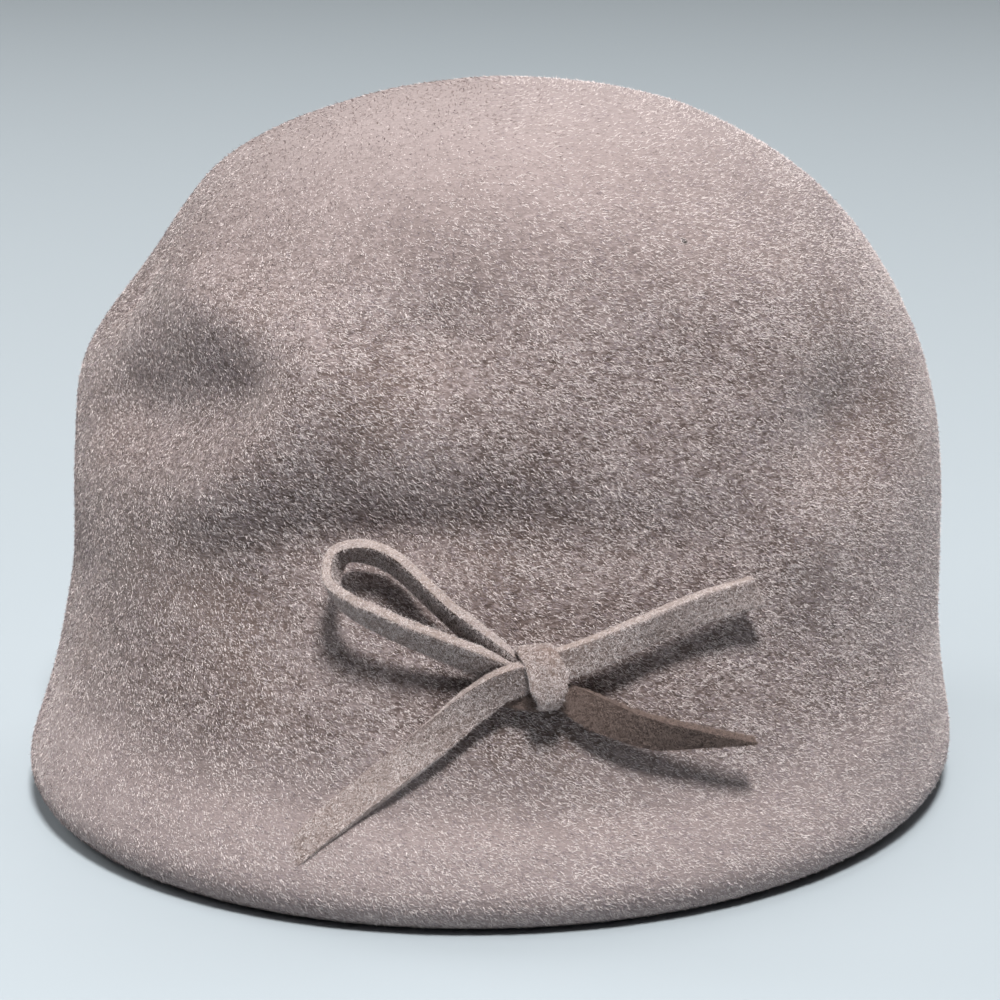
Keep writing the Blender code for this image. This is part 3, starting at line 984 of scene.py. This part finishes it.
    def add_knot(self, faces: Material, edges: Material) -> Piece:
        """Models the knot: a band of the strip round the rest, wide at its top and pulled narrow below.

        Args:
            faces: the material of the band's outer face.
            edges: the material of its cut edges.

        Returns:
            The knot.
        """
        low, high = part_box("bow_knot")
        centre = (low + high) / 2
        normal = self.place(0.0, 0.0, 0.0)[1]
        axis = self.place(self.knot_width, 0.0, 0.0)[0] - self.place(-self.knot_width, 0.0, 0.0)[0]
        axis = Matrix.Rotation(math.radians(self.knot_tilt - self.tilt), 3, normal) @ axis.normalized()
        tall = normal.cross(axis).normalized()
        shape = bmesh.new()
        bmesh.ops.create_grid(shape, x_segments=self.band_around, y_segments=2 * self.across, size=1.0)
        ups, rights, lefts = zip(*BAND_ROWS)
        for vert in shape.verts:
            turn = (vert.co.x + 1) * math.pi
            share = vert.co.y
            up = math.copysign(abs(math.cos(turn)) ** self.band_tall_power, math.cos(turn))
            out = math.copysign(abs(math.sin(turn)) ** self.band_deep_power, math.sin(turn))
            right = float(np.interp(up / 2, ups, rights))
            left = float(np.interp(up / 2, ups, lefts))
            curl = 1.0 - self.band_end_curl * share**self.band_end_power
            along = self.knot_width * (left * (1 + share) - right * (1 - share)) / 2
            crease = math.sin((share + self.fold_slant * up) * self.fold_waves + self.fold_shift)
            fold = self.fold_depth * crease * max(0.0, out)
            rise = tall * (self.knot_tall / 2 * up * curl)
            rise += normal * ((self.knot_depth / 2 * out) * curl + fold)
            vert.co = centre + axis * along + rise
        bmesh.ops.remove_doubles(shape, verts=shape.verts, dist=1e-6)
        bmesh.ops.recalc_face_normals(shape, faces=shape.faces)
        face_away(shape, centre)
        knot = add_piece(shape, "knot_band", [faces, edges])
        wall = knot.modifiers.new("thickness", "SOLIDIFY")
        wall.thickness = self.strip_felt
        wall.offset = -1.0
        wall.material_offset_rim = 1
        self.soften_edges(knot)
        place_piece(knot, "strip_felt", "bow_knot")
        return knot


def between(before: float, here: float, after: float, beyond: float, share: float) -> float:
    """A value between here and after, on the smooth curve through four values.

    Args:
        before: the value before here.
        here: the value that the stretch starts from.
        after: the value that it ends at.
        beyond: the value after that.
        share: how far along the stretch.

    Returns:
        The value.
    """
    slope = (after - before) / 2
    bend = before - 2.5 * here + 2 * after - beyond / 2
    turn = 1.5 * (here - after) + (beyond - before) / 2
    return here + share * slope + share**2 * bend + share**3 * turn


@dataclass
class Nap:
    """Loose fibres of the nap, as thin tapered blades that lie along the felt with their tips a little up.

    A wool fibre is about 0.02 mm wide, too fine to show. Each blade stands for a tuft of fibres, and is drawn
    several times as wide.
    """

    seed: int
    count: int
    length: float = 0.00072
    width: float = 0.00014  # at the root
    lift: float = 20.0  # spread of the angle between a blade and the felt
    slant: float = -30.0  # how far most blades turn from level, negative for down towards the wearer's left
    spread: float = 24.0  # of that turn
    roll: float = 30.0  # spread of the turn about a blade's own length
    clumps: float = 0.8
    clump_gain: float = 2.2
    clump_size: float = 0.0013
    patch_ratio: float = 8.0  # size of the wider patches, in clumps
    patch_share: float = 0.6
    least_cover: float = 0.05
    least_height: float = 0.0011
    outer_only: bool = True
    hat_middle: tuple[float, float, float] = (0.0, 0.009, 0.03)
    worn_from: float = 0.112  # height where the crown's worn top begins
    worn_over: float = 0.026
    worn_share: float = 0.75  # of the nap that is gone there

    def grow(self, surfaces: list[Piece], name: str, finish: FibreFinish, slot: str) -> Piece:
        """Grows the fibres over finished pieces, as one joined mesh.

        Args:
            surfaces: the pieces that they grow on.
            name: the new object's name.
            finish: the fibres' finish.
            slot: handed on to place_piece, which does not use it.

        Returns:
            The fibres.
        """
        points = self.blades(np.concatenate([self.outer_triangles(piece) for piece in surfaces]))
        kept = len(points)
        mesh = bpy.data.meshes.new(name)
        mesh.vertices.add(kept * 3)
        mesh.vertices.foreach_set("co", points.ravel())
        mesh.loops.add(kept * 3)
        mesh.loops.foreach_set("vertex_index", np.arange(kept * 3))
        mesh.polygons.add(kept)
        mesh.polygons.foreach_set("loop_start", np.arange(kept) * 3)
        mesh.update()
        mesh.validate()
        mesh.materials.append(finish.material())
        nap = bpy.data.objects.new(name, mesh)
        bpy.context.scene.collection.objects.link(nap)
        place_piece(nap, slot)
        return nap

    def blades(self, corners: np.ndarray) -> np.ndarray:
        """Scatters the blades over triangles, by their area and the nap's clumps.

        Args:
            corners: the corners of each triangle.

        Returns:
            The corners of each blade that stays above the floor.
        """
        random = np.random.RandomState(self.seed)
        edge_a = corners[:, 1] - corners[:, 0]
        edge_b = corners[:, 2] - corners[:, 0]
        normals = np.cross(edge_a, edge_b)
        area = np.linalg.norm(normals, axis=1)
        share = area * self.clumping(corners.mean(axis=1))
        picked = random.choice(len(corners), self.count, p=share / share.sum())
        share_a = random.rand(self.count, 1)
        share_b = random.rand(self.count, 1)
        over = share_a + share_b > 1
        share_a = np.where(over, 1 - share_a, share_a)
        share_b = np.where(over, 1 - share_b, share_b)
        root = corners[picked, 0] + edge_a[picked] * share_a + edge_b[picked] * share_b
        normal = normals[picked] / area[picked][:, None]
        # Level along the felt. The little noise gives the flat top of the dome a direction too.
        level = np.cross(np.array([0.0, 0.0, 1.0]), normal) + random.normal(0.0, 1e-3, (self.count, 3))
        level /= np.linalg.norm(level, axis=1, keepdims=True)
        turn = np.radians(random.normal(self.slant, self.spread, (self.count, 1)))
        flat = level * np.cos(turn) + np.cross(normal, level) * np.sin(turn)
        lift = np.radians(np.abs(random.normal(0.0, self.lift, (self.count, 1))))
        way = flat * np.cos(lift) + normal * np.sin(lift)
        side = np.cross(normal, way)
        side /= np.linalg.norm(side, axis=1, keepdims=True)
        roll = np.radians(random.normal(0.0, self.roll, (self.count, 1)))
        side = side * np.cos(roll) + np.cross(way, side) * np.sin(roll)
        length = self.length * (0.5 + random.rand(self.count, 1))
        width = self.width * (0.6 + 0.8 * random.rand(self.count, 1))
        points = np.stack([root - side * width / 2, root + side * width / 2, root + way * length], axis=1)
        return points[points[:, :, 2].min(axis=1) > 0.0]

    def clumping(self, places: np.ndarray) -> np.ndarray:
        """How thickly the fibres stand, in clumps.

        Args:
            places: points on the felt.

        Returns:
            A share for each point.
        """
        shift = Vector((self.seed * 3.7, 0.0, 0.0))
        sizes = (self.clump_size, self.clump_size * self.patch_ratio)
        small, wide = [
            np.array([noise.noise(Vector(place) / size + shift) for place in places]) for size in sizes
        ]
        height_ramp = np.clip((places[:, 2] - self.worn_from) / self.worn_over, 0.0, 1.0)
        cover = 1 + self.clump_gain * self.clumps * (small + self.patch_share * wide)
        return np.clip(cover, self.least_cover, None) * (1 - self.worn_share * height_ramp)

    def outer_triangles(self, piece: Piece) -> np.ndarray:
        """The corners of a piece's triangles, all of them or those that face away from the hat's middle.

        Args:
            piece: a finished piece, with its modifiers.

        Returns:
            An array of triangles, three corners each.
        """
        mesh = piece.evaluated_get(bpy.context.evaluated_depsgraph_get()).data
        mesh.calc_loop_triangles()
        points = np.empty(len(mesh.vertices) * 3)
        mesh.vertices.foreach_get("co", points)
        faces = np.empty(len(mesh.loop_triangles) * 3, np.int32)
        mesh.loop_triangles.foreach_get("vertices", faces)
        corners = points.reshape(-1, 3)[faces].reshape(-1, 3, 3)
        normals = np.cross(corners[:, 1] - corners[:, 0], corners[:, 2] - corners[:, 0])
        middle = corners.mean(axis=1)
        outward = np.einsum("ij,ij->i", normals, middle - np.array(self.hat_middle)) > 0
        outward |= not self.outer_only
        return corners[outward & (middle[:, 2] > self.least_height)]


class SoftBox(NamedTuple):
    """A square softbox that faces the hat."""

    name: str
    azimuth: float  # from the hat's front towards the wearer's left
    elevation: float
    size: float
    power: float  # in watts


@dataclass
class Studio:
    """A plain pale floor, soft lights that are strongest overhead, and the camera."""

    target: Vector = field(default_factory=lambda: Vector((-0.0022, 0.0088, 0.0551)))
    azimuth: float = 20.5
    elevation: float = 14.7
    distance: float = 0.720
    pixels_per_mm: float = 4.68
    picture: float = 1000.0
    sensor: float = 36.0
    floor_size: float = 8.0
    floor_colour: str = "a3abb0"
    air_colour: str = "e8ecf0"
    air_strength: float = 0.02
    light_distance: float = 2.2
    softboxes: tuple[SoftBox, ...] = (
        SoftBox("key_softbox", 28.0, 62.0, 0.40, 68.0),
        SoftBox("top_softbox", 20.0, 84.0, 0.8, 8.0),
        SoftBox("back_top_softbox", 180.0, 65.0, 1.0, 14.0),
        SoftBox("left_fill", -60.0, 40.0, 1.0, 6.0),
        SoftBox("left_back_fill", -100.0, 32.0, 1.0, 16.0),
        SoftBox("right_back_fill", 140.0, 35.0, 1.0, 4.0),
    )

    def build(self) -> None:
        """Sets up the floor, lights and camera."""
        self.add_floor()
        for box in self.softboxes:
            self.add_light(box)
        self.add_camera()
        world = bpy.data.worlds.new("studio")
        world.use_nodes = True
        air = world.node_tree.nodes["Background"]
        air.inputs["Color"].default_value = linear(self.air_colour)
        air.inputs["Strength"].default_value = self.air_strength
        bpy.context.scene.world = world
        bpy.context.scene.view_settings.view_transform = "Standard"

    def add_floor(self) -> None:
        """A plain pale blue-grey cloth on the table."""
        shape = bmesh.new()
        bmesh.ops.create_grid(shape, x_segments=1, y_segments=1, size=self.floor_size / 2)
        mesh = bpy.data.meshes.new("floor")
        shape.to_mesh(mesh)
        shape.free()
        material = bpy.data.materials.new("plain_table_cloth")
        material.use_nodes = True
        shader = material.node_tree.nodes["Principled BSDF"]
        shader.inputs["Base Color"].default_value = linear(self.floor_colour)
        shader.inputs["Roughness"].default_value = 0.9
        mesh.materials.append(material)
        floor = bpy.data.objects.new("floor", mesh)
        bpy.context.scene.collection.objects.link(floor)

    def way_to(self, azimuth: float, elevation: float) -> Vector:
        """The way from the hat to a place around it, of length 1.

        Args:
            azimuth: from the hat's front towards the wearer's left.
            elevation: above the floor.

        Returns:
            The direction.
        """
        turn = math.radians(azimuth)
        rise = math.radians(elevation)
        return Vector((math.sin(turn) * math.cos(rise), -math.cos(turn) * math.cos(rise), math.sin(rise)))

    def add_light(self, box: SoftBox) -> None:
        """Adds a softbox that faces the hat.

        Args:
            box: its place, size and power.
        """
        way = self.way_to(box.azimuth, box.elevation)
        light = bpy.data.objects.new(box.name, bpy.data.lights.new(box.name, "AREA"))
        light.data.size = box.size
        light.data.energy = box.power
        light.location = self.target + way * self.light_distance
        light.rotation_euler = way.to_track_quat("Z", "Y").to_euler()
        bpy.context.scene.collection.objects.link(light)

    def add_camera(self) -> None:
        """The photograph's own angle and framing."""
        back = self.way_to(self.azimuth, self.elevation)
        camera = bpy.data.objects.new("camera", bpy.data.cameras.new("camera"))
        camera.data.sensor_width = self.sensor
        camera.data.lens = self.sensor * self.pixels_per_mm * self.distance / MM / self.picture
        camera.location = self.target + back * self.distance
        camera.rotation_euler = back.to_track_quat("Z", "Y").to_euler()
        bpy.context.scene.collection.objects.link(camera)
        bpy.context.scene.camera = camera


def main() -> None:
    """Builds the hat's pieces in order, and the studio."""
    logging.basicConfig(level=logging.INFO, format="%(name)s: %(message)s")
    form = HoodForm()
    specks = tuple(Speck(form.place(azimuth, height)[0], radius) for azimuth, height, radius in SPECK_PLACES)
    # The hood's felt carries painted light that makes the crown's top and the brim paler
    hood_felt = FeltFinish(
        "brushed_wool_felt", "3b302b", "655753", "9a8c8a", "75645d",
        bump_mm=0.26, contrast=1.15, specks=specks, painted_light_heights=((105.0, 142.0), (34.0, 16.0)),
    )
    strip_felt = FeltFinish(
        "cut_strip_of_wool_felt", "463a35", "74655f", "a59691", "836f66",
        fibre_length_mm=0.8, fibre_width_mm=0.30, matting_mm=1.4, bump_mm=0.12,
    )
    # Cut edges: partly the felt's lighter cut, partly a painted highlight on rims lit from above
    strip_edge_with_highlight = FeltFinish(
        "paler_cut_edge_of_wool_felt_with_painted_highlight", "6c5d58", "92847d", "b9aba6", "a18e86",
        fibre_length_mm=0.6, fibre_width_mm=0.30, matting_mm=1.2, bump_mm=0.12,
    )
    # Painted shade: a darker, browner copy of the strip's felt, for the faces that turn down or towards the
    # hood
    strip_painted_shade = FeltFinish(
        "felt_strip_darkened_by_painted_shade", "2f2623", "4a3c37", "6c5d57", "574740",
        fibre_length_mm=0.8, fibre_width_mm=0.30, matting_mm=1.4, bump_mm=0.12,
    )
    hood_form = HoodForm(dents=WAIST_DENTS, edge_radius=FULL_EDGE_RADIUS)
    hood = Hood(hood_form).build(hood_felt.material())
    bow = Bow(form)
    felts = [finish.material() for finish in (strip_felt, strip_edge_with_highlight, strip_painted_shade)]
    strips = {strip.name: bow.add_strip(strip, felts) for strip in bow.strips}
    knot = bow.add_knot(*felts[:2])
    # These strips show their back, painted darker as shade
    painted_shade_strips = [strips[strip.name] for strip in bow.strips if strip.painted_shade_out]
    right_sides = [strips[strip.name] for strip in bow.strips if not strip.painted_shade_out] + [knot]
    light = FibreFinish("nap_of_light_wool_fibres", "d9cdca")
    middle = FibreFinish("nap_of_middle_wool_fibres", "b4a5a1")
    grey = FibreFinish("nap_of_grey_wool_fibres", "94878a")
    # A darker brown fuzz for the strips whose painted-shade back is out, itself painted shade
    brown = FibreFinish("fuzz_of_wool_fibres_in_painted_shade", "7d6c65")
    for seed, tone in enumerate((light, middle, light, grey)):
        Nap(seed, HOOD_BLADES).grow([hood], f"hood_nap_{seed + 1}", tone, "wool_felt")
    tufts = (
        (light, right_sides, BOW_BLADES["light"]),
        (middle, right_sides, BOW_BLADES["middle"]),
        (brown, painted_shade_strips, BOW_BLADES["brown"]),
    )
    for number, (tone, pieces, count) in enumerate(tufts):
        fuzz = Nap(
            number + 7, count, length=0.0006, width=0.0001, spread=80.0, clump_size=0.0008, outer_only=False
        )
        fuzz.grow(pieces, f"bow_fuzz_{number + 1}", tone, "strip_felt")
    Studio().build()


if __name__ == "__main__":
    main()
